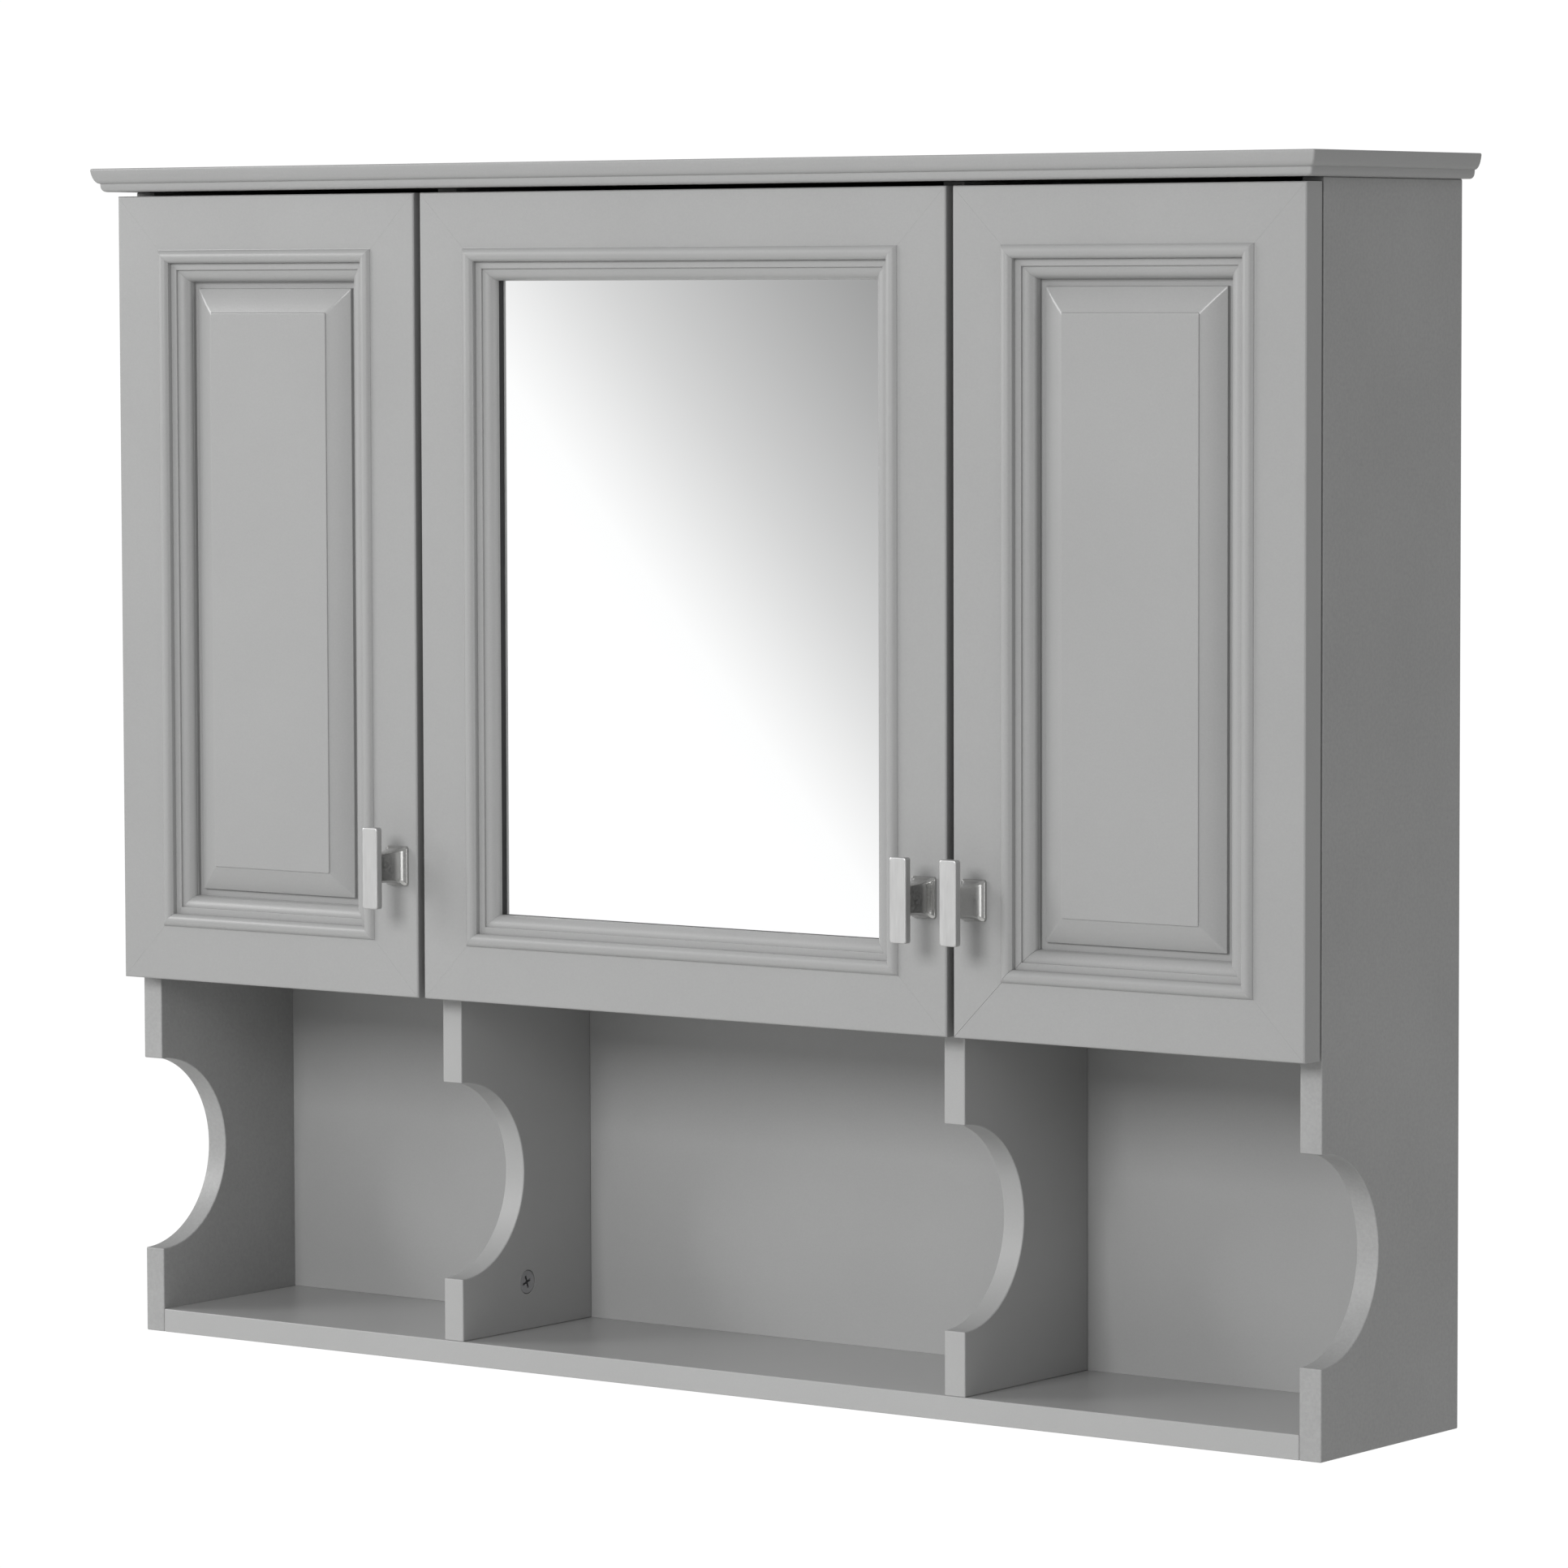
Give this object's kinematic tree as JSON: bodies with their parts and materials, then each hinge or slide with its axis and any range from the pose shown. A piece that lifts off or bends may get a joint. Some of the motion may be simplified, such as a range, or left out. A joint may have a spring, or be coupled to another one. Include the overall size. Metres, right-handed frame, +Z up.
{
  "type": "hanging wall cabinet",
  "caption": "Grey painted wall cabinet: moulded raised-panel doors either side of a mirror door, metal pulls, open cubbies below with half-round cut-outs in the uprights.",
  "frame": {"origin": "centre of the rear face of the upper hanging rail, where the cabinet bears on the wall", "axes": "+X to the right seen from the front, +Y into the wall, +Z up; doors face -Y"},
  "size_m": [0.9254, 0.1985, 0.753],
  "materials": {
    "grey_satin_paint": "satin grey paint on board",
    "grey_board": "grey melamine or paint on board",
    "mirror_glass": "silvered float glass",
    "hardboard": "bare hardboard",
    "hinge_steel": "nickel-plated pressed steel",
    "brushed_nickel": "brushed nickel",
    "zinc_cam": "die-cast zinc",
    "zinc_screw": "zinc-plated steel"
  },
  "bodies": {
    "carcass": {"left_side_panel": "grey_satin_paint", "right_side_panel": "grey_satin_paint", "bottom_board": "grey_satin_paint", "top_panel": "grey_satin_paint", "left_divider": "grey_board", "right_divider": "grey_board", "left_deck": "grey_board", "middle_deck": "grey_board", "right_deck": "grey_board", "left_shelf": "grey_board", "middle_shelf": "grey_board", "right_shelf": "grey_board", "back_panel": "grey_board", "upper_hanging_rail": "grey_board", "lower_wall_rail": "grey_board", "left_divider_cam": "zinc_cam", "right_divider_cam": "zinc_cam", "left_lower_hinge_arm": "hinge_steel", "left_upper_hinge_arm": "hinge_steel", "middle_lower_hinge_arm": "hinge_steel", "middle_upper_hinge_arm": "hinge_steel", "right_lower_hinge_arm": "hinge_steel", "right_upper_hinge_arm": "hinge_steel"},
    "left_door": {"left_door_left_stile": "grey_satin_paint", "left_door_right_stile": "grey_satin_paint", "left_door_bottom_rail": "grey_satin_paint", "left_door_top_rail": "grey_satin_paint", "left_raised_panel": "grey_satin_paint", "left_lower_hinge_cup": "hinge_steel", "left_upper_hinge_cup": "hinge_steel", "left_pull_stem": "brushed_nickel", "left_pull_bar": "brushed_nickel", "left_pull_screw": "zinc_screw"},
    "middle_door": {"middle_door_left_stile": "grey_satin_paint", "middle_door_right_stile": "grey_satin_paint", "middle_door_bottom_rail": "grey_satin_paint", "middle_door_top_rail": "grey_satin_paint", "mirror_glass": "mirror_glass", "mirror_backing": "hardboard", "middle_lower_hinge_cup": "hinge_steel", "middle_upper_hinge_cup": "hinge_steel", "middle_pull_stem": "brushed_nickel", "middle_pull_bar": "brushed_nickel", "middle_pull_screw": "zinc_screw"},
    "right_door": {"right_door_left_stile": "grey_satin_paint", "right_door_right_stile": "grey_satin_paint", "right_door_bottom_rail": "grey_satin_paint", "right_door_top_rail": "grey_satin_paint", "right_raised_panel": "grey_satin_paint", "right_lower_hinge_cup": "hinge_steel", "right_upper_hinge_cup": "hinge_steel", "right_pull_stem": "brushed_nickel", "right_pull_bar": "brushed_nickel", "right_pull_screw": "zinc_screw"},
    "left_links": {"left_lower_hinge_link": "hinge_steel", "left_upper_hinge_link": "hinge_steel"},
    "middle_links": {"middle_lower_hinge_link": "hinge_steel", "middle_upper_hinge_link": "hinge_steel"},
    "right_links": {"right_lower_hinge_link": "hinge_steel", "right_upper_hinge_link": "hinge_steel"}
  },
  "joints": [
    {"name": "left_door_swing", "type": "hinge", "parent": "carcass", "child": "left_door", "pos_m": [-0.4447, -0.1642, -0.2241], "axis": [0, 0, -1], "range_deg": [0, 100]},
    {"name": "left_link_swing", "type": "hinge", "parent": "carcass", "child": "left_links", "pos_m": [-0.41789, -0.15211, -0.2241], "axis": [0, 0, -1], "range_deg": [-26.9, 0]},
    {"name": "middle_door_swing", "type": "hinge", "parent": "carcass", "child": "middle_door", "pos_m": [-0.1947, -0.1642, -0.2241], "axis": [0, 0, -1], "range_deg": [0, 100]},
    {"name": "middle_link_swing", "type": "hinge", "parent": "carcass", "child": "middle_links", "pos_m": [-0.16789, -0.15211, -0.2241], "axis": [0, 0, -1], "range_deg": [-26.9, 0]},
    {"name": "right_door_swing", "type": "hinge", "parent": "carcass", "child": "right_door", "pos_m": [0.4447, -0.1642, -0.2241], "axis": [0, 0, 1], "range_deg": [0, 100]},
    {"name": "right_link_swing", "type": "hinge", "parent": "carcass", "child": "right_links", "pos_m": [0.41789, -0.15211, -0.2241], "axis": [0, 0, 1], "range_deg": [-26.9, 0]}
  ],
  "couplings": [
    {"joint": "left_link_swing", "follows": "left_door_swing", "ratio": -0.268},
    {"joint": "middle_link_swing", "follows": "middle_door_swing", "ratio": -0.268},
    {"joint": "right_link_swing", "follows": "right_door_swing", "ratio": -0.268}
  ]
}
